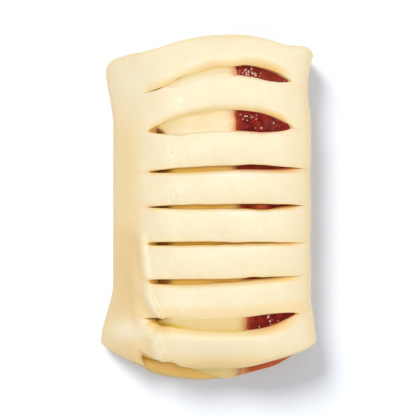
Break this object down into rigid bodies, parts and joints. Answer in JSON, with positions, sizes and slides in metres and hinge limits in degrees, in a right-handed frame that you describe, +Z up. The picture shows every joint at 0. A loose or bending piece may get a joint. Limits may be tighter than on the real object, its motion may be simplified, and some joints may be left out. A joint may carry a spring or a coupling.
{
  "type": "cherry danish",
  "caption": "Unbaked filled pastry: a sheet of pale dough folded over custard and cherry filling, slit across the top into soft straps and open at both ends.",
  "frame": {"origin": "under the middle of the footprint, on the base that the pastry rests on", "axes": "+Z up through the straps, +Y along the pastry towards the end covered by the first strap, +X towards the folded side"},
  "size_m": [0.0756, 0.1206, 0.0221],
  "materials": {
    "dough": "raw laminated dough, pale cream, soft and slightly moist",
    "custard": "smooth set custard, satin",
    "cherry": "dark red cherry filling, wet and glossy"
  },
  "bodies": {
    "root": {"dough": "dough", "custard": "custard", "cherry": "cherry"}
  },
  "joints": []
}
